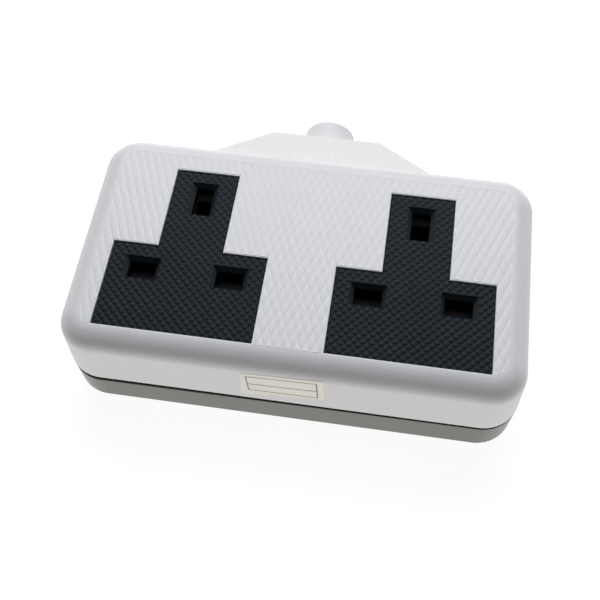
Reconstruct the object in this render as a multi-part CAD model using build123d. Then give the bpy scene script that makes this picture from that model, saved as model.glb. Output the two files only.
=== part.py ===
from build123d import *
import math
import os

# Case, in mm: X runs along the two sockets, Y towards the cable nose, Z up from the table
case_length = 114.4
case_width = 63.4
case_height = 30.4
cover_depth = 18.4
corner_radius = 8.9
top_round = 5.35
draft_angle = 3.3
cover_wall = 2.2
roof_thickness = 2.5
inner_round = 2.4
base_wall = 2.2
base_floor = 2.2
base_inset = 0.02
base_edge_round = 1.1
shadow_gap = 0.9
lap_height = 1.6
lap_wall = 1.1
lap_fit = 0.15

# Cable nose at the back
nose_reach = 13.9
nose_tip_half_width = 15.1
nose_root_half_width = 40.0
nose_drop = 9.86
nose_slope = 20.0
nose_corner_radius = 2.5
nose_inner_round = 0.5
nose_edge_round = 1.2
nose_overlap = 4.0

# Pin layout of the two sockets
end_margin = 9.15
front_margin = 5.8
back_margin = 10.3
pin_spacing = 22.23
line_pin_y = -9.31
earth_pin_depth = 8.0

# Black inserts
stem_width = 16.4
arm_width = 39.3
arm_back_reach = 6.91
insert_fit = 0.1
insert_recess = 0.4
opening_edge_round = 0.25
insert_edge_round = 0.25
flange_margin = 1.0
flange_thickness = 1.6
line_slot_width = 7.0
line_slot_length = 4.9
earth_slot_width = 4.7
earth_slot_length = 8.7
slot_lead_in = 1.05
slot_front_lead_in = 0.35
locating_rib_thickness = 1.2
locating_rib_height = 1.4

# Shutters, their springs and their carriers
running_clearance = 0.2
shutter_thickness = 2.0
shutter_overlap = 1.0
shutter_margin = 1.0
ramp_width = 5.4
ramp_depth = 5.2
ramp_body = 2.4
ramp_lead = 0.3
travel_margin = 0.2
deck_thickness = 1.6
deck_wall = 1.2
deck_slot_margin = 0.3
guide_rib_thickness = 1.0
spring_length = 10.5
spring_coil_radius = 1.4
spring_wire_radius = 0.15
spring_turns = 7
spring_drop = 1.7
spring_seat_thickness = 1.2
spring_peg_radius = 1.0
spring_peg_length = 1.6
ear_radius = 3.0
ear_gap = 3.2
ear_inset = 10.4
insert_boss_radius = 2.2
insert_boss_inset = 2.6
carrier_post_radius = 2.6

# Brass bars, contact clips and rivets
bar_thickness = 1.0
bar_width = 3.6
tab_width = 5.0
low_bar_z = 4.4
high_bar_z = 8.4
live_bar_offset = 8.89
neutral_bar_offset = 8.11
earth_bar_offset = 9.88
clip_thickness = 0.6
clip_width = 6.0
clip_half_base = 3.2
clip_half_waist = 1.75
clip_half_mouth = 2.9
clip_waist_drop = 3.6
clip_bend_radius = 0.7
line_clip_top_gap = 0.9
earth_clip_top_gap = 0.9
rivet_radius = 1.0
rivet_head_radius = 1.6
rivet_head_height = 0.5
rivet_fit = 0.05

# Terminals
terminal_x = 8.0
line_terminal_offset = 7.4
earth_terminal_offset = 5.4
terminal_width = 6.5
terminal_length = 8.0
terminal_height = 7.5
terminal_bore_radius = 1.9
terminal_bore_rise = 3.0
terminal_screw_y = 1.6
terminal_stake_radius = 1.4

# Walls, pillars and posts inside the base
well_wall = 1.2
well_clearance = 1.0
well_top_gap = 2.8
well_slot_margin = 0.3
pillar_radius = 2.1
peg_radius = 0.8
peg_rise = 1.2
peg_fit = 0.1
post_radius = 2.6
post_wall_overlap = 0.05
post_inset = 10.7
post_foot_z = 10.0
boss_radius = 3.8
head_recess_radius = 3.1
head_recess_depth = 4.5
post_rib_thickness = 1.6
post_rib_rise = 2.0

# Cable sleeve and cord clamp
sleeve_axis_z = 10.2
sleeve_radius = 7.15
sleeve_bore_radius = 4.3
sleeve_reach = 8.5
sleeve_neck_radius = 6.0
sleeve_collar_length = 2.0
sleeve_end_round = 1.0
sleeve_fit = 0.1
clamp_inset = 8.7
clamp_width = 6.0
clamp_screw_x = 9.4
clamp_ear_half_width = 12.6
clamp_ear_thickness = 1.8
clamp_arch_thickness = 1.8
clamp_arch_radius = 4.2
clamp_seat_z = 11.4
clamp_post_radius = 2.9
saddle_thickness = 1.2
saddle_half_width = 8.0
saddle_top_z = 8.4

# Screws
screw_radius = 1.35
thread_fit = 0.03
screw_clearance = 0.25
screw_head_radius = 2.5
screw_head_height = 1.7
screw_slot_width = 0.7
screw_slot_depth = 0.9
cover_screw_length = 13.0
carrier_screw_length = 5.2
clamp_screw_length = 8.0
terminal_screw_length = 4.4

# Levels worked out from the sizes above
parting_z = case_height - cover_depth
roof_under_z = case_height - roof_thickness
insert_top_z = case_height - insert_recess
flange_under_z = roof_under_z - flange_thickness
shutter_top_z = flange_under_z - running_clearance
shutter_under_z = shutter_top_z - shutter_thickness
deck_top_z = shutter_under_z - running_clearance
deck_under_z = deck_top_z - deck_thickness
ramp_under_z = shutter_top_z - ramp_depth
spring_axis_z = shutter_top_z - spring_drop
trough_floor_z = spring_axis_z - spring_coil_radius - spring_wire_radius - running_clearance
nose_top_z = case_height - nose_drop
base_rim_z = parting_z - shadow_gap

# Plan places worked out from the sizes above
pilot_radius = screw_radius + thread_fit
side_flare = (cover_depth - top_round) * math.tan(math.radians(draft_angle))
nose_flare = (nose_top_z - parting_z) * math.tan(math.radians(draft_angle))
back_wall_y = case_width / 2
nose_tip_y = back_wall_y + nose_reach
sleeve_wall_outer_y = nose_tip_y + nose_flare
earth_pin_y = line_pin_y + pin_spacing
insert_front_y = front_margin - case_width / 2
arm_back_y = line_pin_y + arm_back_reach
stem_back_y = back_wall_y - back_margin
shutter_travel = line_slot_length + shutter_overlap + travel_margin
shutter_front_y = line_pin_y - line_slot_length / 2 - shutter_overlap
shutter_back_y = line_pin_y + line_slot_length / 2 + shutter_overlap
shutter_bar_half = pin_spacing / 2 + line_slot_width / 2 + shutter_margin
ramp_high_y = earth_pin_y - earth_slot_length / 2 - ramp_lead
ramp_low_y = earth_pin_y - earth_pin_depth / 2 + shutter_travel
spring_fixed_y = shutter_front_y - spring_length
post_x = case_length / 2 - cover_wall - post_radius + post_wall_overlap
post_y = back_wall_y - post_inset
socket_pitch = case_length - 2 * end_margin - arm_width
socket_sides = {"left": -socket_pitch / 2, "right": socket_pitch / 2}
live_bar_y = line_pin_y - live_bar_offset
neutral_bar_y = line_pin_y + neutral_bar_offset
earth_bar_y = earth_pin_y + earth_bar_offset
clamp_y = nose_tip_y - clamp_inset


def block(x_low, x_high, y_low, y_high, z_low, z_high):
    """A box given by its limits along X, Y and Z."""
    middle = Pos((x_low + x_high) / 2, (y_low + y_high) / 2, (z_low + z_high) / 2)
    return middle * Box(x_high - x_low, y_high - y_low, z_high - z_low)


def rod(x, y, z_low, z_high, radius):
    """An upright cylinder between two levels."""
    return Pos(x, y, (z_low + z_high) / 2) * Cylinder(radius, z_high - z_low)


def rod_along_y(x, z, y_low, y_high, radius):
    """A cylinder that lies along Y."""
    return Pos(x, (y_low + y_high) / 2, z) * Rot(90, 0, 0) * Cylinder(radius, y_high - y_low)


def raise_plan(plan, z_low, z_high):
    """A flat plan pulled straight up from one level to another."""
    return extrude(Pos(0, 0, z_low) * plan, z_high - z_low)


def side_profile(points):
    """A closed outline of (y, z) points in the plane that looks along X."""
    return make_face(Polyline(*[(0, y, z) for y, z in points], close=True))


def rims_of_top(solid):
    """The edges of every hole in a solid's topmost face."""
    top = solid.faces().sort_by(Axis.Z)[-1]
    return [edge for wire in top.inner_wires() for edge in wire.edges()]


# Plans of the case


def body_plan(grow):
    """The rounded rectangle of the case, grown from its size at the foot of the top round."""
    return RectangleRounded(case_length + 2 * grow, case_width + 2 * grow, corner_radius + grow)


def nose_plan(grow):
    """The tapering nose, grown all round, from inside the case to its flat tip."""
    slope = math.atan2(nose_root_half_width - nose_tip_half_width, nose_reach)
    side_reach = nose_root_half_width * math.cos(slope) + back_wall_y * math.sin(slope) + grow
    corners = []
    for y in (back_wall_y - nose_overlap - grow, nose_tip_y + grow):
        corners.append(((side_reach - y * math.sin(slope)) / math.cos(slope), y))
    left = [(-x, y) for x, y in reversed(corners)]
    plan = make_face(Polyline(*corners, *left, close=True))
    tip_radius = max(nose_corner_radius + grow, nose_inner_round)
    return fillet(plan.vertices().group_by(Axis.Y)[-1], tip_radius)


def rim_plan(inset):
    """The whole outline at the parting line, case and nose together, inset all round."""
    return body_plan(side_flare - inset) + nose_plan(nose_flare - inset)


def drafted(plan, z_low, z_high):
    """A plan pulled up with sides that lean in."""
    return extrude(Pos(0, 0, z_low) * plan, z_high - z_low, taper=draft_angle)


def round_top(solid, edge_round):
    """The same solid with the edges of its topmost face rounded."""
    return fillet(solid.faces().sort_by(Axis.Z)[-1].edges(), edge_round)


def sloped_nose(grow, tip_z):
    """The nose from the parting line up to a top that falls away towards the tip."""
    nose = drafted(nose_plan(grow), parting_z, case_height)
    above = Pos(0, 0, case_height / 2) * Box(case_length, case_width, case_height)
    return nose - Pos(0, nose_tip_y, tip_z) * Rot(-nose_slope, 0, 0) * above


# Plans of one socket, about the socket's own centre line


def insert_plan(grow):
    """The T of an insert: a cross arm at the front and a stem towards the nose."""
    arm = arm_width / 2 + grow
    stem = stem_width / 2 + grow
    front = insert_front_y - grow
    shoulder = arm_back_y + grow
    back = stem_back_y + grow
    right = [(arm, front), (arm, shoulder), (stem, shoulder), (stem, back)]
    left = [(-x, y) for x, y in reversed(right)]
    return make_face(Polyline(*right, *left, close=True))


def line_slots(grow):
    """The live and neutral slots."""
    slot = Rectangle(line_slot_width + 2 * grow, line_slot_length + 2 * grow)
    return [Pos(side * pin_spacing / 2, line_pin_y) * slot for side in (-1, 1)]


def slot_mouths():
    """Centre, width and length of each of a socket's three slots."""
    half = pin_spacing / 2
    return [(-half, line_pin_y, line_slot_width, line_slot_length),
            (half, line_pin_y, line_slot_width, line_slot_length),
            (0, earth_pin_y, earth_slot_width, earth_slot_length)]


def carrier_ears():
    """Centres of a carrier's two screw ears, one each side of the stem."""
    ear_x = stem_width / 2 + flange_margin + ear_gap
    ear_y = arm_back_y + ear_inset
    return [(-ear_x, ear_y), (ear_x, ear_y)]


def insert_bosses():
    """Centres of the two bosses under an insert's arm that take the carrier's other screws."""
    inset = deck_wall + insert_boss_inset - flange_margin
    boss_x = arm_width / 2 - inset
    boss_y = insert_front_y + inset
    return [(-boss_x, boss_y), (boss_x, boss_y)]


# Screws


def screw(x, y, seat_z, length, pointing):
    """A slotted pan-head screw whose head sits on seat_z; pointing is 1 for up, -1 for down."""
    head = rod(0, 0, -screw_head_height, 0, screw_head_radius)
    head = fillet(head.edges().group_by(Axis.Z)[0], screw_head_height / 3)
    tip = screw_radius
    shank = rod(0, 0, 0, length - tip, screw_radius)
    point = Pos(0, 0, length - tip / 2) * Cone(screw_radius, screw_radius / 4, tip)
    slot = block(-screw_head_radius, screw_head_radius, -screw_slot_width / 2,
                 screw_slot_width / 2, -screw_head_height, screw_slot_depth - screw_head_height)
    whole = head + shank + point - slot
    turn = Rot(0, 0, 0) if pointing == 1 else Rot(180, 0, 0)
    return Pos(x, y, seat_z) * turn * whole


# Cover: the white shell with the nose's upper half


def case_posts():
    """Places of the four screws that hold cover and base together."""
    return [(x, y) for x in (-post_x, post_x) for y in (-post_y, post_y)]


def make_cover():
    body = round_top(drafted(body_plan(side_flare), parting_z, case_height), top_round)
    nose = round_top(sloped_nose(nose_flare, nose_top_z), nose_edge_round)
    hollow = round_top(drafted(body_plan(side_flare - cover_wall), parting_z, roof_under_z),
                       inner_round)
    under_slope = nose_top_z - cover_wall / math.cos(math.radians(nose_slope))
    cover = body + nose - hollow - sloped_nose(nose_flare - cover_wall, under_slope)
    cover -= raise_plan(rim_plan(lap_wall), parting_z, parting_z + lap_height + lap_fit)
    for x in socket_sides.values():
        place = Pos(x, 0, 0)
        rib_inside = flange_margin + insert_fit
        rib = insert_plan(rib_inside + locating_rib_thickness) - insert_plan(rib_inside)
        cover += place * raise_plan(rib, roof_under_z - locating_rib_height, roof_under_z)
        for ear_x, ear_y in carrier_ears():
            cover += rod(x + ear_x, ear_y, deck_top_z, roof_under_z, carrier_post_radius)
    for x, y in case_posts():
        cover += rod(x, y, post_foot_z, roof_under_z, post_radius)
        wall_x = math.copysign(case_length / 2 - cover_wall / 2, x)
        rib_low = parting_z + lap_height + post_rib_rise
        cover += block(min(x, wall_x), max(x, wall_x), y - post_rib_thickness / 2,
                       y + post_rib_thickness / 2, rib_low, roof_under_z)
    for x, y in case_posts():
        cover -= rod(x, y, post_foot_z, post_foot_z + cover_screw_length, pilot_radius)
    for x in socket_sides.values():
        for ear_x, ear_y in carrier_ears():
            cover -= rod(x + ear_x, ear_y, deck_top_z, roof_under_z, pilot_radius)
        cover -= Pos(x, 0, 0) * raise_plan(insert_plan(insert_fit), roof_under_z, case_height)
    cover = fillet(rims_of_top(cover), opening_edge_round)
    cover -= rod_along_y(0, sleeve_axis_z, back_wall_y, nose_tip_y + cover_wall,
                         sleeve_neck_radius + sleeve_fit)
    return cover


# Base: the grey tray with the nose's lower half


def bar_posts():
    """Pillars that carry the bars: plan place and the level of the bar above."""
    neutral_right = socket_sides["right"] - pin_spacing / 2
    live_left = socket_sides["left"] + pin_spacing / 2
    live_right = socket_sides["right"] + pin_spacing / 2
    neutral_left = socket_sides["left"] - pin_spacing / 2
    earth_left = socket_sides["left"]
    earth_right = socket_sides["right"]
    live = [(live_left, live_bar_y), (live_right, live_bar_y)]
    neutral = [(neutral_left, neutral_bar_y), (neutral_right, neutral_bar_y)]
    earth = [(earth_left, earth_bar_y), (earth_right, earth_bar_y)]
    return {"live": live, "neutral": neutral, "earth": earth}


def well(x, y, half_x, half_y, slot_side):
    """Four walls round a clip, with a slot open to the top where its tab comes in."""
    top = deck_under_z - well_top_gap
    outer = block(x - half_x - well_wall, x + half_x + well_wall,
                  y - half_y - well_wall, y + half_y + well_wall, base_floor, top)
    inner = block(x - half_x, x + half_x, y - half_y, y + half_y, base_floor, top)
    slot_half = tab_width / 2 + well_slot_margin
    slot_end = y + slot_side * (half_y + well_wall)
    slot = block(x - slot_half, x + slot_half, min(y, slot_end), max(y, slot_end),
                 base_floor, top)
    return outer - inner - slot


def make_base():
    outside = raise_plan(rim_plan(base_inset), 0, base_rim_z)
    outside = fillet(outside.edges().group_by(Axis.Z)[0], base_edge_round)
    inside_plan = rim_plan(base_inset + base_wall)
    tongue_plan = rim_plan(lap_wall + lap_fit) - inside_plan
    base = outside - raise_plan(inside_plan, base_floor, base_rim_z)
    base += raise_plan(tongue_plan, base_floor, parting_z + lap_height)
    for x, y in case_posts():
        base += rod(x, y, base_floor, post_foot_z, boss_radius)
        base -= rod(x, y, 0, post_foot_z, screw_radius + screw_clearance)
        base -= rod(x, y, 0, head_recess_depth, head_recess_radius)
    half_across = clip_half_base + clip_thickness + well_clearance
    half_along = clip_width / 2 + well_clearance
    for centre_x in socket_sides.values():
        live_x = centre_x + pin_spacing / 2
        neutral_x = centre_x - pin_spacing / 2
        base += well(live_x, line_pin_y, half_along, half_across, -1)
        base += well(neutral_x, line_pin_y, half_along, half_across, 1)
        base += well(centre_x, earth_pin_y, half_across, half_along, 1)
    for bar_name, level in (("live", low_bar_z), ("neutral", high_bar_z), ("earth", low_bar_z)):
        for x, y in bar_posts()[bar_name]:
            base += rod(x, y, base_floor, level, pillar_radius)
            base += rod(x, y, level, level + bar_thickness + peg_rise, peg_radius)
    saddle_gap = clamp_width / 2
    for y in (clamp_y - saddle_gap, clamp_y + saddle_gap):
        rib = block(-saddle_half_width, saddle_half_width, y - saddle_thickness / 2,
                    y + saddle_thickness / 2, base_floor, saddle_top_z)
        base += rib - rod_along_y(0, sleeve_axis_z, y - saddle_thickness,
                                  y + saddle_thickness, clamp_arch_radius)
    for x in (-clamp_screw_x, clamp_screw_x):
        base += rod(x, clamp_y, base_floor, clamp_seat_z, clamp_post_radius)
        base -= rod(x, clamp_y, base_floor, clamp_seat_z, pilot_radius)
    notch = sleeve_neck_radius + sleeve_fit
    notch_back = sleeve_wall_outer_y + cover_wall
    notch_front = sleeve_wall_outer_y - 2 * base_wall
    base -= rod_along_y(0, sleeve_axis_z, notch_front, notch_back, notch)
    base -= block(-notch, notch, notch_front, notch_back, sleeve_axis_z, parting_z + 2 * lap_height)
    return base


# Inserts: black T plates whose slots flare at the mouth to lead the pins in


def slot_cutter(x, y, width, length):
    """A straight slot with a flared mouth, steeper at the front than on its other sides."""
    slot = block(x - width / 2, x + width / 2, y - length / 2, y + length / 2,
                 flange_under_z, insert_top_z)
    foot = Pos(x, y, insert_top_z - slot_lead_in) * Rectangle(width, length)
    mouth_y = y + (slot_lead_in - slot_front_lead_in) / 2
    mouth = Rectangle(width + 2 * slot_lead_in, length + slot_lead_in + slot_front_lead_in)
    return slot + loft([foot, Pos(x, mouth_y, insert_top_z) * mouth])


def make_insert():
    plate = raise_plan(insert_plan(0), flange_under_z, insert_top_z)
    plate = fillet(plate.edges().group_by(Axis.Z)[-1], insert_edge_round)
    insert = plate + raise_plan(insert_plan(flange_margin), flange_under_z, roof_under_z)
    for x, y in insert_bosses():
        insert += rod(x, y, deck_top_z, flange_under_z, insert_boss_radius)
        insert -= rod(x, y, deck_top_z, deck_under_z + carrier_screw_length + screw_radius,
                      pilot_radius)
    for mouth in slot_mouths():
        insert -= slot_cutter(*mouth)
    return insert


# Shutters: a cross bar over the line slots and a ramp under the earth slot


def make_shutter():
    bar = block(-shutter_bar_half, shutter_bar_half, shutter_front_y, shutter_back_y,
                shutter_under_z, shutter_top_z)
    bar = fillet(bar.edges().filter_by(Axis.Z), shutter_margin / 2)
    stem = block(-ramp_width / 2, ramp_width / 2, line_pin_y, ramp_high_y,
                 shutter_under_z, shutter_top_z)
    ramp_face = side_profile([(ramp_high_y, shutter_top_z), (ramp_low_y, ramp_under_z),
                              (ramp_low_y - ramp_body, ramp_under_z),
                              (ramp_high_y - ramp_body, shutter_under_z),
                              (ramp_high_y - ramp_body, shutter_top_z)])
    ramp = extrude(ramp_face, ramp_width / 2, both=True)
    pad_half = spring_coil_radius + spring_wire_radius
    pad = block(-pad_half, pad_half, shutter_front_y, shutter_front_y + spring_seat_thickness,
                spring_axis_z - pad_half, shutter_under_z)
    peg = rod_along_y(0, spring_axis_z, shutter_front_y - spring_peg_length, shutter_front_y,
                      spring_peg_radius)
    return bar + stem + ramp + pad + peg


# Springs: fine wire coils that push the shutters closed


def make_spring():
    wire_length = spring_length - 2 * spring_wire_radius
    coil = Helix(wire_length / spring_turns, wire_length, spring_coil_radius)
    section = Plane(origin=coil @ 0, z_dir=coil % 0) * Circle(spring_wire_radius)
    spring = sweep(section, path=coil)
    start_y = spring_fixed_y + spring_wire_radius
    return Pos(0, start_y, spring_axis_z) * Rot(-90, 0, 0) * spring


# Carriers: trays that close each shutter in under its insert


def make_carrier():
    outline = insert_plan(flange_margin)
    carrier = raise_plan(outline, deck_under_z, deck_top_z)
    wall = outline - insert_plan(flange_margin - deck_wall)
    carrier += raise_plan(wall, deck_under_z, flange_under_z)
    trough_half = spring_coil_radius + spring_wire_radius + running_clearance
    trough_back_y = shutter_front_y + spring_seat_thickness + running_clearance
    carrier += block(-trough_half - deck_wall, trough_half + deck_wall,
                     spring_fixed_y - deck_wall, trough_back_y + deck_wall,
                     trough_floor_z - deck_wall, deck_top_z)
    carrier -= block(-trough_half, trough_half, spring_fixed_y, trough_back_y,
                     trough_floor_z, deck_top_z)
    carrier += block(-trough_half, trough_half, spring_fixed_y - deck_wall, spring_fixed_y,
                     deck_under_z, shutter_top_z)
    carrier += rod_along_y(0, spring_axis_z, spring_fixed_y, spring_fixed_y + spring_peg_length,
                           spring_peg_radius)
    guide_near = ramp_width / 2 + running_clearance
    rail_near = shutter_bar_half + running_clearance
    rail_front_y = shutter_front_y - shutter_travel - guide_rib_thickness
    for side_x in (-1, 1):
        guide = sorted((side_x * guide_near, side_x * (guide_near + guide_rib_thickness)))
        rail = sorted((side_x * rail_near, side_x * (rail_near + guide_rib_thickness)))
        carrier += block(*guide, shutter_back_y, ramp_high_y, deck_top_z, shutter_top_z)
        carrier += block(*rail, rail_front_y, shutter_back_y, deck_top_z, shutter_top_z)
    for slot in line_slots(deck_slot_margin):
        carrier -= raise_plan(slot, deck_under_z, deck_top_z)
    ramp_slot_half = ramp_width / 2 + deck_slot_margin
    ramp_slot_front = ramp_high_y - ramp_body - shutter_travel - deck_slot_margin
    ramp_slot_back = earth_pin_y + earth_slot_length / 2 + deck_slot_margin
    carrier -= block(-ramp_slot_half, ramp_slot_half, ramp_slot_front, ramp_slot_back,
                     deck_under_z, deck_top_z)
    for x, y in carrier_ears():
        x_low, x_high = sorted((x, math.copysign(stem_width / 2, x)))
        carrier += rod(x, y, deck_under_z, deck_top_z, ear_radius)
        carrier += block(x_low, x_high, y - ear_radius, y + ear_radius, deck_under_z, deck_top_z)
    for x, y in carrier_ears() + insert_bosses():
        carrier -= rod(x, y, deck_under_z, deck_top_z, screw_radius + screw_clearance)
    return carrier


# Brass bars: flat stampings with a tab under each clip and one under the terminal


def rivet_places():
    """Plan place of every clip, by its bar."""
    half = pin_spacing / 2
    centres = socket_sides.values()
    return {"live": [(x + half, line_pin_y) for x in centres],
            "neutral": [(x - half, line_pin_y) for x in centres],
            "earth": [(x, earth_pin_y) for x in centres]}


terminals = {"live": (terminal_x, neutral_bar_y + line_terminal_offset),
             "neutral": (-terminal_x, neutral_bar_y + line_terminal_offset),
             "earth": (0, earth_bar_y - earth_terminal_offset)}
bar_levels = {"live": low_bar_z, "neutral": high_bar_z, "earth": low_bar_z}
bar_rows = {"live": live_bar_y, "neutral": neutral_bar_y, "earth": earth_bar_y}
lead_x = {"live": 0, "neutral": -terminal_x, "earth": 0}


def plan_block(x_low, x_high, y_low, y_high):
    """A flat rectangle given by its limits."""
    return Pos((x_low + x_high) / 2, (y_low + y_high) / 2) * Rectangle(x_high - x_low, y_high - y_low)


def make_bar(name):
    """A row with a tab to each clip, and a lead that ends in a foot under the terminal."""
    row_y = bar_rows[name]
    places = rivet_places()[name]
    foot_x, foot_y = terminals[name]
    foot_half = terminal_length / 2
    half = bar_width / 2
    tab = tab_width / 2
    ends = [x for x, y in places] + [lead_x[name]]
    plan = plan_block(min(ends) - tab, max(ends) + tab, row_y - half, row_y + half)
    targets = [(x, y, clip_half_base) for x, y in places]
    targets.append((lead_x[name], foot_y, foot_half))
    for x, y, reach in targets:
        near_y, end_y = sorted((row_y, y + math.copysign(reach, y - row_y)))
        plan += plan_block(x - tab, x + tab, near_y, end_y)
    foot_low, foot_high = sorted((lead_x[name], foot_x))
    plan += plan_block(foot_low - tab, foot_high + tab, foot_y - foot_half, foot_y + foot_half)
    for x, y in places:
        plan -= Pos(x, y) * Circle(rivet_radius + rivet_fit)
    for x, y in bar_posts()[name]:
        plan -= Pos(x, y) * Circle(peg_radius + peg_fit)
    plan -= Pos(*terminals[name]) * Circle(terminal_stake_radius + rivet_fit)
    return raise_plan(plan, bar_levels[name], bar_levels[name] + bar_thickness)


# Contact clips: brass strip folded into two sprung leaves


def make_clip(x, y, bar_level, top_z, across_x):
    """Leaves close on a pin's thickness, along Y, or along X for an earth clip."""
    seat = bar_level + bar_thickness
    middle = seat + clip_thickness / 2
    waist = top_z - clip_waist_drop
    right = [(clip_half_base, middle), (clip_half_waist + clip_thickness / 2, waist),
             (clip_half_mouth, top_z)]
    left = [(-u, z) for u, z in reversed(right)]
    path = FilletPolyline(*[(0, u, z) for u, z in left + right], radius=clip_bend_radius)
    strip = trace(Plane.YZ.location.inverse() * path, clip_thickness)
    clip = extrude(Plane.YZ * strip, clip_width / 2, both=True)
    if across_x:
        clip = Rot(0, 0, 90) * clip
    clip = Pos(x, y, 0) * clip
    return clip - rod(x, y, seat, seat + clip_thickness, rivet_radius + rivet_fit)


def make_rivet(x, y, bar_level):
    """A flat-headed rivet through a clip's foot and its bar."""
    foot = bar_level + bar_thickness + clip_thickness
    shank = rod(x, y, bar_level, foot, rivet_radius)
    upper = rod(x, y, foot, foot + rivet_head_height, rivet_head_radius)
    lower = rod(x, y, bar_level - rivet_head_height, bar_level, rivet_head_radius)
    return shank + upper + lower


# Terminals: brass pillars staked through their bars


def make_terminal(name):
    x, y = terminals[name]
    foot = bar_levels[name] + bar_thickness
    half_x = terminal_width / 2
    half_y = terminal_length / 2
    pillar = block(x - half_x, x + half_x, y - half_y, y + half_y, foot, foot + terminal_height)
    pillar = fillet(pillar.edges().filter_by(Axis.Z), terminal_width / 8)
    pillar += rod(x, y, bar_levels[name], foot, terminal_stake_radius)
    pillar -= rod_along_y(x, foot + terminal_bore_rise, y - half_y, y + half_y, terminal_bore_radius)
    pillar -= rod(x, y + terminal_screw_y, foot + terminal_bore_rise, foot + terminal_height,
                  pilot_radius)
    return pillar


def make_terminal_screw(name):
    x, y = terminals[name]
    top = bar_levels[name] + bar_thickness + terminal_height
    return screw(x, y + terminal_screw_y, top, terminal_screw_length, -1)


# Cable sleeve: a flanged bush held by its neck in the nose wall


def make_sleeve():
    wall_out = sleeve_wall_outer_y + sleeve_fit
    wall_in = nose_tip_y - cover_wall - sleeve_fit
    end_y = nose_tip_y + sleeve_reach
    back_y = wall_in - sleeve_collar_length
    profile = make_face(Polyline((0, sleeve_bore_radius, back_y), (0, sleeve_radius, back_y),
                                 (0, sleeve_radius, wall_in), (0, sleeve_neck_radius, wall_in),
                                 (0, sleeve_neck_radius, wall_out), (0, sleeve_radius, wall_out),
                                 (0, sleeve_radius, end_y), (0, sleeve_bore_radius, end_y),
                                 close=True))
    sleeve = revolve(profile, Axis.Z)
    sleeve = fillet(sleeve.edges().group_by(Axis.Z)[-1], sleeve_end_round)
    return Pos(0, 0, sleeve_axis_z) * Rot(-90, 0, 0) * sleeve


# Cord clamp: an arched bar screwed down across the cord channel


def make_clamp():
    ears = plan_block(-clamp_ear_half_width, clamp_ear_half_width, clamp_seat_z,
                      clamp_seat_z + clamp_ear_thickness)
    arch = Pos(0, sleeve_axis_z) * Circle(clamp_arch_radius + clamp_arch_thickness)
    arch &= plan_block(-clamp_ear_half_width, clamp_ear_half_width, clamp_seat_z,
                       sleeve_axis_z + clamp_arch_radius + clamp_arch_thickness)
    profile = ears + arch - Pos(0, sleeve_axis_z) * Circle(clamp_arch_radius)
    clamp = extrude(Plane.XZ * profile, clamp_width / 2, both=True)
    clamp = Pos(0, clamp_y, 0) * clamp
    for x in (-clamp_screw_x, clamp_screw_x):
        clamp -= rod(x, clamp_y, clamp_seat_z, clamp_seat_z + clamp_ear_thickness,
                     screw_radius + screw_clearance)
    return clamp


# Every piece by its name
pieces = {"cover": make_cover(), "base": make_base()}
for side, centre in socket_sides.items():
    pieces["insert_" + side] = Pos(centre, 0, 0) * make_insert()
    pieces["shutter_" + side] = Pos(centre, 0, 0) * make_shutter()
    pieces["shutter_spring_" + side] = Pos(centre, 0, 0) * make_spring()
    pieces["shutter_carrier_" + side] = Pos(centre, 0, 0) * make_carrier()
line_clip_top = deck_under_z - line_clip_top_gap
earth_clip_top = ramp_under_z - earth_clip_top_gap
rivets = []
for name, level in bar_levels.items():
    pieces[name + "_bar"] = make_bar(name)
    pieces[name + "_terminal"] = make_terminal(name)
    top_z = earth_clip_top if name == "earth" else line_clip_top
    for side, (x, y) in zip(socket_sides, rivet_places()[name]):
        pieces[name + "_clip_" + side] = make_clip(x, y, level, top_z, name == "earth")
        rivets.append(make_rivet(x, y, level))
pieces["clip_rivets"] = Compound(rivets)
pieces["terminal_screws"] = Compound([make_terminal_screw(name) for name in terminals])
pieces["cable_sleeve"] = make_sleeve()
pieces["cord_clamp"] = make_clamp()
clamp_top = clamp_seat_z + clamp_ear_thickness
pieces["clamp_screws"] = Compound([screw(x, clamp_y, clamp_top, clamp_screw_length, -1)
                                   for x in (-clamp_screw_x, clamp_screw_x)])
pieces["carrier_screws"] = Compound([screw(centre + x, y, deck_under_z, carrier_screw_length, 1)
                                     for centre in socket_sides.values()
                                     for x, y in carrier_ears() + insert_bosses()])
pieces["cover_screws"] = Compound([screw(x, y, head_recess_depth, cover_screw_length, 1)
                                   for x, y in case_posts()])

os.makedirs("parts", exist_ok=True)
for name, piece in pieces.items():
    export_step(piece, "parts/" + name + ".step")
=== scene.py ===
# %% [markdown]
# # A trailing socket with two outlets
# This file dresses a finished CAD model of a trailing socket: a white cover on a grey base,
# two black T-shaped inserts and a cable nose. The CAD gives every solid its place, so the
# work here is the surface of each piece: its moulded texture, its grain, its colour and the
# light that shows them. All lengths are in metres, X runs along the outlets, Y towards the
# nose and Z up from the table.

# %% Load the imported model
import math

import bmesh
import bpy
from mathutils import Matrix, Vector


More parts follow.
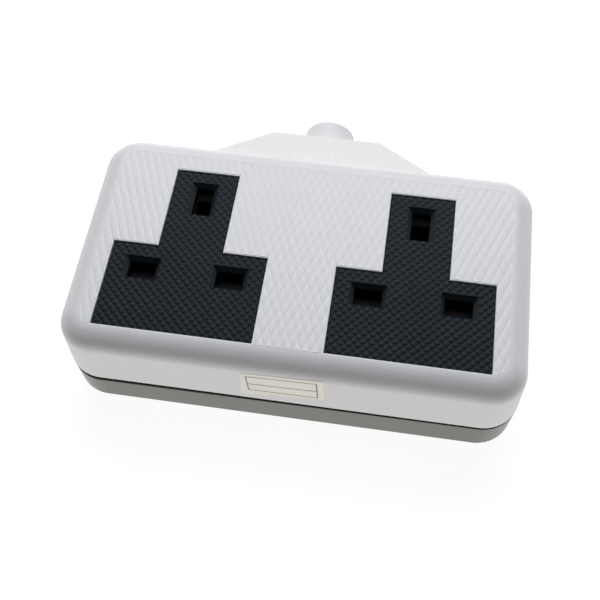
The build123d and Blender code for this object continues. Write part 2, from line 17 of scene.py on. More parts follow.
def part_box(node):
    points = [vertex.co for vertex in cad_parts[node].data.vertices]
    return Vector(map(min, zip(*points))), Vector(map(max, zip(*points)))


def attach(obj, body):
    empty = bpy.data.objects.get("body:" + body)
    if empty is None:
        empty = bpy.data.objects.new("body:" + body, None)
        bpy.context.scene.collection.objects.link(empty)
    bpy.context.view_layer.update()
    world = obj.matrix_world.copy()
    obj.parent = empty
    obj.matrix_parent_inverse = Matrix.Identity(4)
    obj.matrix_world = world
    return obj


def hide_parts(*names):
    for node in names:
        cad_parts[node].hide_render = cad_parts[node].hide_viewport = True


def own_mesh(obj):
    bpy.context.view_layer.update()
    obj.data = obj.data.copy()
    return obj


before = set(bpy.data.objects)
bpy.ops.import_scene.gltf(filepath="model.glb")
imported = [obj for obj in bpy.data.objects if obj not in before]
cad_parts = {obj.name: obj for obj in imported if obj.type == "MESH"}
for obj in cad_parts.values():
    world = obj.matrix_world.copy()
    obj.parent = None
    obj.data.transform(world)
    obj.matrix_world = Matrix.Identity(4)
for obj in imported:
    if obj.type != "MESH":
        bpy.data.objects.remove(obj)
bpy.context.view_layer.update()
MM = 0.001
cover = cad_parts["cover"]
case_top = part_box("cover")[1].z
insert_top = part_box("insert_left")[1].z

# %% [markdown]
# ## The camera
# The picture to match looks down on the outlets from in front, turned a little. The place
# and the three directions come from matching the slots, the case edges and the nose with
# their places in the photograph. A camera matrix is built from those directions: it could
# also be aimed by a Track To constraint, but a constraint loses the small roll.

# %% Camera at the photograph's place
camera_place = Vector((0.018797, -0.110677, 0.215830))
camera_forward = Vector((-0.0841083, 0.4649529, -0.8813312)).normalized()
camera_right = Vector((0.9888681, 0.1478942, -0.0163482))
camera_right = (camera_right - camera_right.dot(camera_forward) * camera_forward).normalized()
camera_up = camera_right.cross(camera_forward)

camera = bpy.data.objects.new("camera", bpy.data.cameras.new("camera"))
bpy.context.scene.collection.objects.link(camera)
camera.matrix_world = Matrix((camera_right, camera_up, -camera_forward)).transposed().to_4x4()
camera.matrix_world.translation = camera_place
camera.data.sensor_width = 36
camera.data.lens = 51.91
bpy.context.scene.camera = camera
print("camera is", round((camera_place - Vector((0, 0, case_top))).length / MM), "mm away")

# %% [markdown]
# ## Light and floor
# The socket lies on a bright white table. Its top takes a soft light from behind and above,
# its front wall is lit by the table, and the round between them, which faces neither, is the
# darkest white of all. So one large area lamp stands behind, the floor gives light to
# diffuse rays, and nothing shines from the camera's side. Several lamps could share the
# work, but each would throw a shadow of its own, and the picture has a single faint one. For
# camera rays the floor is close to white and keeps that shadow. A glossy face mirrors the
# white backdrop behind and beside the socket, or the dark side of the room, so the world is
# graded for glossy rays.

# %% Node helpers
def add_node(tree, kind, inputs=(), **settings):
    """A shader node with its settings, and inputs given as values or as other sockets."""
    node = tree.nodes.new(kind)
    for name, value in settings.items():
        setattr(node, name, value)
    for name, value in dict(inputs).items():
        if isinstance(value, bpy.types.NodeSocket):
            tree.links.new(value, node.inputs[name])
        else:
            node.inputs[name].default_value = value
    return node


def largest(tree, first, second):
    """The larger of two values."""
    return add_node(tree, "ShaderNodeMath", {0: first, 1: second}, operation="MAXIMUM").outputs[0]


def map_range(tree, value, low, high, from_low=0.0, from_high=1.0):
    """A value stretched so that from_low gives low and from_high gives high."""
    return add_node(tree, "ShaderNodeMapRange", {0: value, 1: from_low, 2: from_high, 3: low,
                                                 4: high}).outputs[0]


def along(tree, vector, direction):
    """How far a vector reaches along a direction."""
    return add_node(tree, "ShaderNodeVectorMath", {0: vector, 1: direction},
                    operation="DOT_PRODUCT").outputs["Value"]


def blend_colours(tree, share, first, second):
    """A mix of two colours, all second where share is 1."""
    return add_node(tree, "ShaderNodeMix", {0: share, 6: first, 7: second},
                    data_type="RGBA").outputs[2]


def blend_shaders(tree, share, first, second):
    """A mix of two shaders, all second where share is 1."""
    return add_node(tree, "ShaderNodeMixShader", {0: share, 1: first, 2: second}).outputs[0]


print("node helpers are ready")

# %% World
white = (1, 1, 1, 1)
fill_colour, fill_strength = (0.9, 0.93, 1, 1), 0.04
bright_side = (0, 0.8, -0.6)
dark_until, white_from = -0.3, 0.15
dark_share = 0.1

world = bpy.data.worlds.new("studio")
bpy.context.scene.world = world
world.use_nodes = True
tree = world.node_tree
tree.nodes.clear()
path = add_node(tree, "ShaderNodeLightPath")
heading = add_node(tree, "ShaderNodeTexCoord").outputs["Generated"]
white_share = map_range(tree, along(tree, heading, bright_side), dark_share, 1.0,
                        from_low=dark_until, from_high=white_from)
soft_fill = add_node(tree, "ShaderNodeBackground",
                     {"Color": fill_colour, "Strength": fill_strength})
mirrored = add_node(tree, "ShaderNodeBackground", {"Color": white, "Strength": white_share})
backdrop = add_node(tree, "ShaderNodeBackground", {"Color": white, "Strength": 1.0})
lighting = blend_shaders(tree, path.outputs["Is Glossy Ray"], soft_fill.outputs[0],
                         mirrored.outputs[0])
plainly_seen = largest(tree, path.outputs["Is Camera Ray"], path.outputs["Is Transmission Ray"])
add_node(tree, "ShaderNodeOutputWorld",
         {"Surface": blend_shaders(tree, plainly_seen, lighting, backdrop.outputs[0])})
print("world:", len(tree.nodes), "nodes")

# %% Floor
floor_reach = 3.0
floor_z = -0.01 * MM
glow_colour, glow_strength = (1, 0.98, 0.94, 1), 1.38
shown_strength = 0.945
shadow_grey = (0.14, 0.14, 0.14, 1)

floor_corners = [(x * floor_reach, y * floor_reach, floor_z)
                 for x, y in ((-1, -1), (1, -1), (1, 1), (-1, 1))]
floor_mesh = bpy.data.meshes.new("floor")
floor_mesh.from_pydata(floor_corners, [], [(0, 1, 2, 3)])
floor = bpy.data.objects.new("floor", floor_mesh)
bpy.context.scene.collection.objects.link(floor)
table_white = bpy.data.materials.new("table_white")
table_white.use_nodes = True
tree = table_white.node_tree
tree.nodes.clear()
glow = add_node(tree, "ShaderNodeEmission", {"Color": glow_colour, "Strength": glow_strength})
shown = add_node(tree, "ShaderNodeEmission", {"Color": white, "Strength": shown_strength})
shadow_keeper = add_node(tree, "ShaderNodeBsdfDiffuse", {"Color": shadow_grey})
shown_floor = add_node(tree, "ShaderNodeAddShader", {0: shown.outputs[0],
                                                     1: shadow_keeper.outputs[0]})
path = add_node(tree, "ShaderNodeLightPath")
seen = largest(tree, path.outputs["Is Camera Ray"], path.outputs["Is Glossy Ray"])
seen = largest(tree, seen, path.outputs["Is Transmission Ray"])
add_node(tree, "ShaderNodeOutputMaterial",
         {"Surface": blend_shaders(tree, seen, glow.outputs[0], shown_floor.outputs[0])})
floor_mesh.materials.append(table_white)
print("floor:", 2 * floor_reach, "m wide")

# %% Lamps
def area_lamp(name, place, target, width, height, power, colour):
    """A soft rectangular lamp at a place, facing a target."""
    lamp = bpy.data.objects.new(name, bpy.data.lights.new(name, "AREA"))
    bpy.context.scene.collection.objects.link(lamp)
    lamp.data.shape = "RECTANGLE"
    lamp.data.size = width
    lamp.data.size_y = height
    lamp.data.energy = power
    lamp.data.color = colour
    lamp.location = place
    lamp.rotation_euler = (Vector(target) - Vector(place)).to_track_quat("-Z", "Y").to_euler()


area_lamp("back_lamp", place=(-0.05, 0.58, 0.78), target=(0, 0, 0.02), width=0.9, height=0.5,
          power=8.9, colour=(0.97, 0.98, 1.0))

bpy.context.scene.view_settings.view_transform = "Standard"

# %% [markdown]
# ## Moulded plastic
# Most pieces are injection moulded. Up close such a surface is never one flat colour: the
# spark-eroded mould leaves a fine grain, the melt leaves faint cloudiness, and handling
# leaves patches a little smoother. One function makes this finish from two noise textures in
# object space, where a metre is a metre, so the grain has its true size on every piece. Real
# geometry could carry the grain too, but it is finer than a fifth of a millimetre, and bump
# is enough for that.
#
# In the photograph the dark line between cover and base is wider at the front left than at
# the front right. A cover set askew would show that too, but the CAD keeps the gap even. So
# the shadow in that gap is painted on the base's rim: the rim is painted near black above a
# plane that rises a little towards its right and its back.

# %% Plastic finish
# Near black of the painted shade in the gap between cover and base.
painted_shade_black = (0.006, 0.006, 0.007, 1)
gloss_spread = 0.05


def moulded_plastic(name, colour, roughness, grain_mm=0.16, grain_depth=0.02, clouding=0.03,
                    specular=0.5, shade_above=None, shade_lean=(0, 0)):
    """A moulded finish: a fine grain, a slightly clouded colour and uneven gloss. Where a
    height is given, shade is painted above it: the colour goes near black and the surface
    fully rough, along an edge that rises towards +X and +Y by the two given slopes."""
    finish = bpy.data.materials.new(name)
    finish.use_nodes = True
    tree = finish.node_tree
    shader = tree.nodes["Principled BSDF"]
    place = add_node(tree, "ShaderNodeTexCoord").outputs["Object"]
    cloud = add_node(tree, "ShaderNodeTexNoise", {"Vector": place, "Scale": 60.0, "Detail": 4.0})
    darker = [c * (1 - clouding) for c in colour] + [1]
    lighter = [min(1.0, c * (1 + clouding)) for c in colour] + [1]
    tint = blend_colours(tree, cloud.outputs["Fac"], darker, lighter)
    gloss = map_range(tree, cloud.outputs["Fac"], roughness - gloss_spread,
                      roughness + gloss_spread)
    grain = add_node(tree, "ShaderNodeTexNoise", {"Vector": place, "Scale": 1 / (grain_mm * MM),
                                                  "Detail": 2.0})
    bump = add_node(tree, "ShaderNodeBump", {"Height": grain.outputs["Fac"], "Strength": 0.4,
                                             "Distance": grain_depth * MM})
    # Painted shade: above the given height the colour turns near black and fully rough.
    if shade_above is not None:
        height = along(tree, place, (-shade_lean[0], -shade_lean[1], 1))
        in_painted_shade = add_node(tree, "ShaderNodeMath", {0: height, 1: shade_above},
                         operation="GREATER_THAN").outputs[0]
        tint = blend_colours(tree, in_painted_shade, tint, painted_shade_black)
        gloss = largest(tree, gloss, in_painted_shade)
    tree.links.new(tint, shader.inputs["Base Color"])
    tree.links.new(gloss, shader.inputs["Roughness"])
    tree.links.new(bump.outputs[0], shader.inputs["Normal"])
    shader.inputs["Specular IOR Level"].default_value = specular
    return finish


def wear(node_names, finish):
    """Gives CAD nodes a finish through their own material slots."""
    for node_name in node_names:
        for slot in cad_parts[node_name].material_slots:
            slot.material = finish
    print(finish.name, "on", ", ".join(node_names))


# %% Plastic pieces
# Painted shade: the base's rim is near black above joint_z, standing for the shadow in the gap
# under the cover.
joint_z = 10.75 * MM
joint_lean = (0.008, 0.01)
white_shell = moulded_plastic("white_shell", (0.78, 0.78, 0.80), 0.42)
# Painted light: a paler white for the nose's top, which slopes towards the lamp behind.
painted_light_white = moulded_plastic("painted_light_white", (0.86, 0.855, 0.835), 0.42)
grey_shell = moulded_plastic("grey_shell", (0.114, 0.116, 0.095), 0.3, clouding=0.06,
                             shade_above=joint_z, shade_lean=joint_lean)
white_sleeve = moulded_plastic("white_sleeve", (0.82, 0.82, 0.83), 0.5)
black_insert = moulded_plastic("black_insert", (0.005, 0.010, 0.015), 0.42, grain_mm=0.1,
                               specular=0.28)
black_studs = moulded_plastic("black_studs", (0.005, 0.011, 0.0165), 0.5, grain_mm=0.1,
                              specular=0.105)
dark_shutter = moulded_plastic("dark_shutter", (0.007, 0.006, 0.006), 0.7, specular=0.06)
white_tray = moulded_plastic("white_tray", (0.62, 0.62, 0.60), 0.5)
wear(["cover"], white_shell)
wear(["base", "cord_clamp"], grey_shell)
wear(["cable_sleeve"], white_sleeve)
wear(["insert_left", "insert_right"], black_insert)
wear(["shutter_left", "shutter_right"], dark_shutter)
wear(["shutter_carrier_left", "shutter_carrier_right"], white_tray)

# %% [markdown]
# ## Brass, spring wire and screws
# The contacts and bars are stamped from rolled brass strip, so their grain runs in long
# faint lines, and they dull in patches. Springs and screws are plated steel. An anisotropic
# shader could give the lines, but it needs a direction at every point. So both are metals
# with a stretched noise for the drawn or rolled lines and a cloudy one for the tarnish. A
# metal's look is mostly what it reflects, so roughness does most of the work.

# %% Metal finish
def worked_metal(name, bright, dull, roughness, stretch):
    """A metal with rolled or drawn lines and patches that have dulled."""
    finish = bpy.data.materials.new(name)
    finish.use_nodes = True
    tree = finish.node_tree
    shader = tree.nodes["Principled BSDF"]
    shader.inputs["Metallic"].default_value = 1.0
    place = add_node(tree, "ShaderNodeTexCoord").outputs["Object"]
    patches = add_node(tree, "ShaderNodeTexNoise", {"Vector": place, "Scale": 160.0,
                                                    "Detail": 5.0})
    tint = blend_colours(tree, patches.outputs["Fac"], (*bright, 1), (*dull, 1))
    drawn = add_node(tree, "ShaderNodeMapping", {"Vector": place, "Scale": stretch})
    lines = add_node(tree, "ShaderNodeTexNoise", {"Vector": drawn.outputs[0], "Scale": 1.0,
                                                  "Detail": 3.0})
    gloss = map_range(tree, lines.outputs["Fac"], roughness - 0.1, roughness + 0.12)
    bump = add_node(tree, "ShaderNodeBump", {"Height": lines.outputs["Fac"], "Strength": 0.3,
                                             "Distance": 0.01 * MM})
    tree.links.new(tint, shader.inputs["Base Color"])
    tree.links.new(gloss, shader.inputs["Roughness"])
    tree.links.new(bump.outputs[0], shader.inputs["Normal"])
    return finish


# %% Metal pieces
brass = worked_metal("brass", (0.82, 0.60, 0.26), (0.58, 0.40, 0.18), 0.32, (300, 4000, 4000))
spring_wire = worked_metal("spring_wire", (0.62, 0.62, 0.64), (0.42, 0.42, 0.43), 0.3,
                           (3000, 3000, 500))
screw_steel = worked_metal("screw_steel", (0.66, 0.66, 0.68), (0.45, 0.45, 0.44), 0.36,
                           (2500, 2500, 2500))
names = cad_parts
wear([n for n in names if n.endswith(("_bar", "_terminal")) or "_clip_" in n or "rivets" in n],
     brass)
wear(["shutter_spring_left", "shutter_spring_right"], spring_wire)
wear([n for n in names if n.endswith("_screws")], screw_steel)

# %% [markdown]
# ## The raised texture
# The cover's top is a field of shallow flat-topped lozenges, longer towards the nose than
# across, and each black insert has small square-set studs. Bump would show them, but their
# sloping rims catch the light and stand out at the edges, so they are real facets. Each
# stud stands on a diamond at the valley's level, and rings of eight points rise from it to a
# flat on top. An Array of one stud could fill the field, but a loop gives one closed slab,
# and a Boolean modifier then keeps only what lies over the outline of the surface that
# carries it. The slab's foot is sunk a little into that surface and its valleys stand a hair
# proud of it, so no gap shows. Last, the facets are shaded smooth, all but those that meet at
# a sharp edge, as on moulded plastic.

# %% Mesh maker
weld_distance = 0.0005 * MM


def mesh_piece(name, vertices, faces, finish):
    """A mesh object from vertices and faces, with its normals made to point outwards."""
    mesh = bpy.data.meshes.new(name)
    mesh.from_pydata(vertices, [], faces)
    work = bmesh.new()
    work.from_mesh(mesh)
    bmesh.ops.remove_doubles(work, verts=work.verts, dist=weld_distance)
    bmesh.ops.recalc_face_normals(work, faces=work.faces)
    work.to_mesh(mesh)
    work.free()
    mesh.materials.append(finish)
    piece = bpy.data.objects.new(name, mesh)
    bpy.context.scene.collection.objects.link(piece)
    return piece


print("mesh maker is ready")

# %% Slab of studs
ring_points = 8
side_share = math.sqrt(0.5)
quadrants = ((1, 1), (-1, 1), (-1, -1), (1, -1))


def stud_slab(name, centre, columns, rows, half_x, half_y, rings, foot_z, valley_z, tip_z, finish):
    """A closed slab whose top is a field of studs, each on a diamond that is half_x by half_y
    from middle to corner. rings gives each stud's share of that diamond, its share of the
    height and its roundness, from the lowest ring to the flat one on top."""
    vertices = []
    faces = []

    def ring(x, y, share, roundness, z):
        """The corners of a diamond and the middles of its sides in turn. Roundness pushes the
        middles outwards, as far out as the corners where it is 1."""
        first = len(vertices)
        for k in range(ring_points):
            reach = share * (1 if k % 2 == 0 else roundness + (1 - roundness) * side_share)
            angle = math.radians(360 / ring_points * k)
            vertices.append((x + reach * half_x * math.cos(angle),
                             y + reach * half_y * math.sin(angle), z))
        return list(range(first, first + ring_points))

    for j in range(-rows, rows + 1):
        for i in range(-columns, columns + 1):
            if (i + j) % 2 != 0:
                continue
            x, y = centre[0] + i * half_x, centre[1] + j * half_y
            foot = ring(x, y, 1, 0, foot_z)
            valley = ring(x, y, 1, 0, valley_z)
            stack = [valley]
            for share, height, roundness in rings:
                z = valley_z + height * (tip_z - valley_z)
                stack.append(ring(x, y, share, roundness, z))
            faces.append(tuple(stack[-1]))
            faces.append(tuple(reversed(foot)))
            for k in range(ring_points):
                n = (k + 1) % ring_points
                for low, high in zip(stack, stack[1:]):
                    faces.append((low[k], low[n], high[n], high[k]))
                step_x, step_y = quadrants[k // 2]
                if abs(i + step_x) > columns or abs(j + step_y) > rows:
                    faces.append((foot[k], foot[n], valley[n], valley[k]))
    return mesh_piece(name, vertices, faces, finish)


def soften(piece, sharp_degrees):
    """Smooth shading, with edges that turn by more than sharp_degrees kept sharp."""
    piece.data.shade_smooth()
    piece.data.set_sharp_from_angle(angle=math.radians(sharp_degrees))


print("a stud's ring has", ring_points, "points")

# %% Cutters
def prism(name, outlines, low_z, high_z):
    """Upright prisms over one or more flat outlines, used only as a cutter."""
    vertices = []
    faces = []
    for outline in outlines:
        first = len(vertices)
        count = len(outline)
        vertices += [(x, y, low_z) for x, y in outline] + [(x, y, high_z) for x, y in outline]
        faces.append(tuple(first + k for k in reversed(range(count))))
        faces.append(tuple(first + count + k for k in range(count)))
        for k in range(count):
            n = (k + 1) % count
            faces.append((first + k, first + n, first + count + n, first + count + k))
    return mesh_piece(name, vertices, faces, None)


def carve(piece, cutter, operation):
    """Applies a Boolean to a piece and throws the cutter away."""
    change = piece.modifiers.new(operation.lower(), "BOOLEAN")
    change.operation = operation
    change.solver = "EXACT"
    change.object = cutter
    bpy.context.view_layer.update()
    evaluated = piece.evaluated_get(bpy.context.evaluated_depsgraph_get())
    result = bpy.data.meshes.new_from_object(evaluated)
    piece.modifiers.clear()
    old = piece.data
    piece.data = result
    bpy.data.meshes.remove(old)
    bpy.data.objects.remove(cutter)


cutter_half = 1.0 * MM
print("cutters reach", cutter_half / MM, "mm above and below a surface")

# %% [markdown]
# ## Lozenges on the cover
# The lozenges cover the flat of the top up to the round, all but the two T-shaped openings.
# The two T's could be drawn by hand, but where they lie is read off the inserts themselves,
# so they stay in step with the CAD. The cutters are upright prisms.

# %% Outline of one T
outlet_x = (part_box("insert_right")[0].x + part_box("insert_right")[1].x) / 2
flange = 1.0 * MM
insert_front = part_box("insert_left")[0].y + flange
insert_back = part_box("insert_left")[1].y - flange
insert_shoulder = -2.40 * MM
arm_half = 19.65 * MM
stem_half = 8.2 * MM


def t_outline(centre_x, grow):
    """The T of an insert's opening, from its front left corner round, grown on all sides."""
    arm = arm_half + grow
    stem = stem_half + grow
    front, shoulder, back = insert_front - grow, insert_shoulder + grow, insert_back + grow
    return [(centre_x + x, y) for x, y in
            ((-arm, front), (arm, front), (arm, shoulder), (stem, shoulder),
             (stem, back), (-stem, back), (-stem, shoulder), (-arm, shoulder))]


print("T, mm:", [[round(v / MM, 2) for v in p] for p in t_outline(outlet_x, 0)])

# %% Outline of the top
def rounded_outline(half_x, low_y, high_y, radius, steps=8):
    """A rectangle with round corners as a list of points, anticlockwise."""
    right, left = half_x - radius, radius - half_x
    back, front = high_y - radius, low_y + radius
    points = []
    for cx, cy, start in ((right, back, 0), (left, back, 90), (left, front, 180),
                          (right, front, 270)):
        for k in range(steps + 1):
            angle = math.radians(start + 90 * k / steps)
            points.append((cx + radius * math.cos(angle), cy + radius * math.sin(angle)))
    return points


top_field = rounded_outline(half_x=51.8 * MM, low_y=-26.2 * MM, high_y=26.5 * MM,
                            radius=3.8 * MM)
print("the top's outline has", len(top_field), "points")

# %% Lozenges over the top
lozenge_half_x = 1.1 * MM
lozenge_half_y = 2.65 * MM
lozenge_rings = ((0.84, 0.62, 0.0), (0.64, 1.0, 0.0))
lozenge_rise = 0.078 * MM
lozenge_sharp = 30
sunk = 0.06 * MM
proud = 0.01 * MM
opening_margin = 0.5 * MM
top_columns, top_rows = 49, 11
lozenges = stud_slab("cover_lozenges", (0, 0), top_columns, top_rows, lozenge_half_x,
                     lozenge_half_y, lozenge_rings, case_top - sunk, case_top + proud,
                     case_top + lozenge_rise, white_shell)
carve(lozenges, prism("field", [top_field], case_top - cutter_half, case_top + cutter_half),
      "INTERSECT")
openings = prism("openings", [t_outline(x, opening_margin) for x in (-outlet_x, outlet_x)],
                 case_top - cutter_half, case_top + cutter_half)
carve(lozenges, openings, "DIFFERENCE")
soften(lozenges, lozenge_sharp)
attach(lozenges, "case")
print("lozenges:", len(lozenges.data.polygons), "faces")

# %% [markdown]
# ## Lozenges on the nose
# The nose's top falls away towards its tip, and it carries the same lozenges. A slab could
# be projected onto that slope, but projecting stretches it. Two rays cast down on the nose
# give its height and its slope, so the slab is cut flat on the ground and then turned and
# lifted into place. Its outline follows the nose as the photograph shows it, whose sides run
# in faster than those of the solids: drawn_in says how far each point moves sideways.

# %% A narrower nose
nose_root_y, nose_tip_y = 31.7 * MM, 45.3 * MM
nose_tip_half = 15.6 * MM
nose_root_half, drawn_root_half = 40.0 * MM, 32.5 * MM
still_half, firm_half = 13.5 * MM, 48.0 * MM
plain_until = 28.5 * MM


def drawn_in(x, y):
    """Where x goes when the nose's root is drawn in from nose_root_half to drawn_root_half.
    Nothing moves in front of plain_until, nearer the middle than still_half or beyond
    firm_half, and the nose's tip stays."""
    share = min(1.0, max(0.0, (y - plain_until) / (nose_root_y - plain_until)))
    along_nose = min(1.0, max(0.0, (y - nose_root_y) / (nose_tip_y - nose_root_y)))
    old = nose_root_half + (nose_tip_half - nose_root_half) * along_nose
    new = old - (nose_root_half - drawn_root_half) * (1 - along_nose) * share
    size = abs(x)
    if still_half < size <= old:
        size = still_half + (size - still_half) * (new - still_half) / (old - still_half)
    elif old < size < firm_half:
        size = firm_half - (firm_half - size) * (firm_half - new) / (firm_half - old)
    return math.copysign(size, x)


print("the nose's root goes from", round(nose_root_half / MM, 1), "to",
      round(drawn_in(nose_root_half, nose_root_y) / MM, 1), "mm from the middle")

# %% Slope of the nose
well_above = 0.1
near_y, far_y = 36 * MM, 43 * MM


def cover_point(y):
    """The highest point of the cover's middle line at y."""
    _, place, _, _ = cover.ray_cast(Vector((0, y, well_above)), Vector((0, 0, -1)))
    return place


near, far = cover_point(near_y), cover_point(far_y)
nose_slope = math.atan2(near.z - far.z, far.y - near.y)
print("nose slope:", round(math.degrees(nose_slope), 1), "degrees")

# %% Lozenges on the slope
nose_plan = ((-34.3, 32.7), (34.3, 32.7), (14.2, 44.2), (-14.2, 44.2))
nose_field = [(drawn_in(x * MM, y * MM), (y * MM - near.y) / math.cos(nose_slope))
              for x, y in nose_plan]
nose_columns, nose_rows = 34, 4
# The nose's lozenges wear the paler white that paints the light falling on the slope.
nose_lozenges = stud_slab("nose_lozenges", (0, 0), nose_columns, nose_rows, lozenge_half_x,
                          lozenge_half_y, lozenge_rings, -sunk, proud, lozenge_rise, painted_light_white)
carve(nose_lozenges, prism("nose_field", [nose_field], -cutter_half, cutter_half), "INTERSECT")
soften(nose_lozenges, lozenge_sharp)
nose_lozenges.data.transform(Matrix.Translation(near) @ Matrix.Rotation(-nose_slope, 4, "X"))
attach(nose_lozenges, "case")
print("nose lozenges:", len(nose_lozenges.data.polygons), "faces")

# %% [markdown]
# ## Studs on the inserts
# The same slab with square-set cells lies on each black insert, a little inside its edge,
# with a hole round the flared mouth of each slot. These studs are steeper than the lozenges
# and rounder towards their tops, which gives each a small soft highlight. Geometry Nodes
# could scatter them, but the slab stays one closed mesh with nothing left to evaluate.

# %% Mouths of the slots
pin_spacing = 22.23 * MM
line_pin_y = -9.31 * MM
line_slot, earth_slot = (7.0 * MM, 4.9 * MM), (4.7 * MM, 8.7 * MM)
mouth_flare, front_flare = 1.05 * MM, 0.35 * MM


def mouth_outline(x, y, slot_size):
    """The rectangle round a slot's flared mouth, which reaches less far at the front."""
    width, length = slot_size
    side, front, back = width / 2 + mouth_flare, length / 2 + front_flare, length / 2 + mouth_flare
    return [(x - side, y - front), (x + side, y - front), (x + side, y + back),
            (x - side, y + back)]


def mouths(centre_x):
    """The outlines round the three mouths of the outlet at centre_x."""
    return [mouth_outline(centre_x - pin_spacing / 2, line_pin_y, line_slot),
            mouth_outline(centre_x + pin_spacing / 2, line_pin_y, line_slot),
            mouth_outline(centre_x, line_pin_y + pin_spacing, earth_slot)]


print("front left corners of the mouths, mm:",
      [[round(v / MM, 2) for v in outline[0]] for outline in mouths(outlet_x)])

# %% Studs on both inserts
stud_half = 1.085 * MM
stud_rings = ((0.8, 0.3, 0.2), (0.56, 0.78, 0.7), (0.28, 1.0, 1.0))
stud_rise = 0.165 * MM
stud_sharp = 50
stud_columns, stud_rows = 20, 26
edge_margin = 0.12 * MM
low_z, high_z = insert_top - cutter_half, insert_top + cutter_half
for side, centre_x in (("left", -outlet_x), ("right", outlet_x)):
    studs = stud_slab("insert_studs_" + side, (centre_x, 0), stud_columns, stud_rows, stud_half,
                      stud_half, stud_rings, insert_top - sunk, insert_top + proud,
                      insert_top + stud_rise, black_studs)
    carve(studs, prism("t_cutter", [t_outline(centre_x, -edge_margin)], low_z, high_z),
          "INTERSECT")
    carve(studs, prism("mouths", mouths(centre_x), low_z, high_z), "DIFFERENCE")
    soften(studs, stud_sharp)
    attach(studs, "case")
    print(studs.name, len(studs.data.polygons), "faces")

# %% [markdown]
# ## The paper label
# A small paper label with a ruled frame in two rows is stuck on the front wall, a little
# askew, and its upper right corner runs onto the round. Its place is known on the wall,
# so a grid of points is cast straight back onto the cover and lifted by the paper's
# thickness: the paper then follows the wall and the round by itself. A Shrinkwrap modifier
# could do the same, but a cast ray also tells where each rule must lie.

# %% Cast onto the wall
in_front = -0.2


def on_wall(x, z, lift):
    """The point of the cover's front wall at x and z, lifted off the surface."""
    hit, place, normal, _ = cover.ray_cast(Vector((x, in_front, z)), Vector((0, 1, 0)))
    if not hit:
        raise RuntimeError("the label misses the wall")
    return place + normal * lift


def wall_patch(name, corners, columns, rows, low, high, finish):
    """A thin closed sheet between four (x, z) corners, from bottom left anticlockwise. The
    corners and the heights of its two sides off the wall are in millimetres."""
    points = []
    for lift in (high, low):
        for j in range(rows + 1):
            for i in range(columns + 1):
                u, v = i / columns, j / rows
                bottom = Vector(corners[0]).lerp(Vector(corners[1]), u)
                top = Vector(corners[3]).lerp(Vector(corners[2]), u)
                x, z = bottom.lerp(top, v)
                points.append(on_wall(x * MM, z * MM, lift * MM))
    across = columns + 1
    below = across * (rows + 1)
    faces = []
    for j in range(rows):
        for i in range(columns):
            a = j * across + i
            face = (a, a + 1, a + across + 1, a + across)
            faces += [face, tuple(v + below for v in reversed(face))]
    rim = list(range(across)) + [j * across + columns for j in range(1, rows + 1)]
    rim += [rows * across + i for i in range(columns - 1, -1, -1)]
    rim += [j * across for j in range(rows - 1, 0, -1)]
    for k, start in enumerate(rim):
        end = rim[(k + 1) % len(rim)]
        faces.append((start, start + below, end + below, end))
    return mesh_piece(name, points, faces, finish)


print("wall at 20 mm up, mm:", round(on_wall(0, 20 * MM, 0).y / MM, 2))

# %% Paper
paper = moulded_plastic("label_paper", (0.93, 0.915, 0.86), 0.75, grain_mm=0.08, grain_depth=0.01)
ink = moulded_plastic("label_ink", (0.16, 0.14, 0.12), 0.7, grain_mm=0.08, grain_depth=0.01)
paper_back, paper_face = -0.02, 0.07
paper_steps = 20
paper_corners = ((-11.15, 14.23), (9.83, 16.49), (9.37, 26.2), (-10.66, 25.09))
label = wall_patch("label", paper_corners, paper_steps, paper_steps, paper_back, paper_face,
                   paper)
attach(label, "case")
print("label:", len(label.data.polygons), "faces")

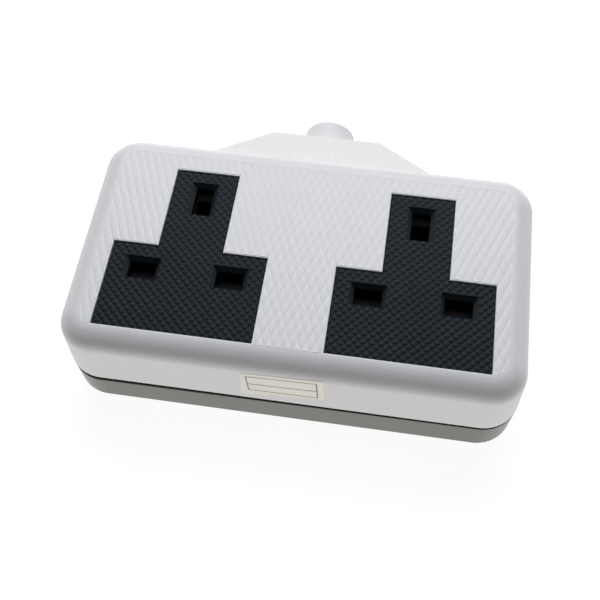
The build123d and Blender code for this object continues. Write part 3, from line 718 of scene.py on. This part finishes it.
# %% Rules
rule_width = 0.26
rule_back, rule_face = 0.05, 0.085
rule_steps = 24
left_share, right_share = 0.46, 0.47
low_left, low_right = Vector((-9.07, 16.73)), Vector((8.16, 17.08))
high_left, high_right = Vector((-9.5, 23.7)), Vector((7.78, 24.53))
middle_left = low_left.lerp(high_left, left_share)
middle_right = low_right.lerp(high_right, right_share)
rule_lines = [(low_left, low_right), (low_right, high_right), (high_left, high_right),
              (low_left, high_left), (middle_left, middle_right)]
for number, (start, end) in enumerate(rule_lines):
    ahead = (end - start).normalized() * rule_width / 2
    aside = Vector((-ahead.y, ahead.x))
    corners = [start - ahead - aside, end + ahead - aside, end + ahead + aside,
               start - ahead + aside]
    rule = wall_patch(f"label_rule_{number}", corners, rule_steps, 1, rule_back, rule_face, ink)
    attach(rule, "case")
print("label with", len(rule_lines), "rules")

# %% [markdown]
# ## The nose drawn in
# From the camera the nose's sides run in faster than those of the solids, whose nose is too
# wide at its root. So two pieces stand for the cover and the base: copies of their meshes, in
# which each point of the nose moves sideways only. All heights, the nose's tip and the case's
# own corners stay. A lattice could do this too, but drawn_in says exactly how far each point
# goes, and the lozenges' outline follows it as well. The nose's sloping top faces the lamp
# behind and is the palest part of the cover, so that light is painted: its faces get the
# lighter white of its lozenges, a painted highlight.

# %% Cover and base with the narrower nose
facing_up = 0.5


def stand_in(node_name, name):
    """A copy of a CAD node's mesh in the node's finish, which stands for it."""
    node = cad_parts[node_name]
    piece = bpy.data.objects.new(name, node.data.copy())
    bpy.context.scene.collection.objects.link(piece)
    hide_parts(node_name)
    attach(piece, "case")
    return piece


for node_name, name, slot_name in (("cover", "cover_shell", "white_shell"),
                                   ("base", "base_tray", "grey_shell")):
    piece = stand_in(node_name, name)
    for vertex in piece.data.vertices:
        vertex.co.x = drawn_in(vertex.co.x, vertex.co.y)
    piece.data.update()
    # The cover's upward faces on the nose get the paler white: painted light from the lamp behind.
    if node_name == "cover":
        piece.data.materials.append(painted_light_white)
        for face in piece.data.polygons:
            if face.center.y > nose_root_y and face.normal.z > facing_up:
                face.material_index = 1
    print(name, "stands for", node_name)

# %% [markdown]
# ## The springs
# Each spring lies between its carrier and its shutter, and shortens when the shutter slides
# towards it. A shape key could hold the short coil, but nothing would set it as the joint
# moves. So a copy of the coil, with a mesh of its own, stands for the rigid one.

# %% Both springs
for side in ("left", "right"):
    coil = stand_in("shutter_spring_" + side, "spring_coil_" + side)
    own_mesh(coil)
